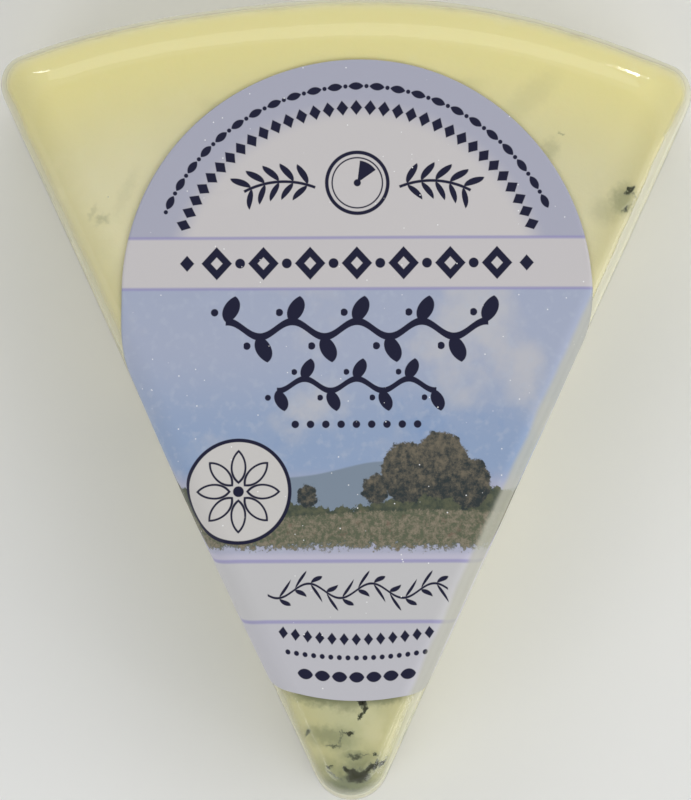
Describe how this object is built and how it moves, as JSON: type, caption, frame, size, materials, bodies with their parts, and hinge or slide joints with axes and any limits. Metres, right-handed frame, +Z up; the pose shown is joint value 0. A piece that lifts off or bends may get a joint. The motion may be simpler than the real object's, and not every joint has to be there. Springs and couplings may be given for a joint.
{
  "type": "wrapped blue cheese wedge",
  "caption": "Wedge of blue-veined cheese, shrink-wrapped in clear film, with a long round-ended label folded over its top and cut sides; it lies flat on its base.",
  "frame": {"origin": "centre of the base, on the surface that the wedge lies on", "axes": "+Z up through the thickness, +Y from the tip towards the rind along the length, +X to the right when seen from the tip"},
  "size_m": [0.0786, 0.0908, 0.0291],
  "materials": {
    "wrapped_cheese": "ivory cheese with blue-green veins seen through tight, glossy clear film",
    "cheese": "moist, slightly translucent ivory paste with blue-green veins and small hollows",
    "film": "thin clear shrink film, glossy, with small creases at the corners",
    "label": "semi-gloss coated paper, printed in pale lilac, off-white, sky blue and navy"
  },
  "bodies": {
    "root": {"wrapped_wedge": "wrapped_cheese", "label": "label"}
  },
  "joints": []
}
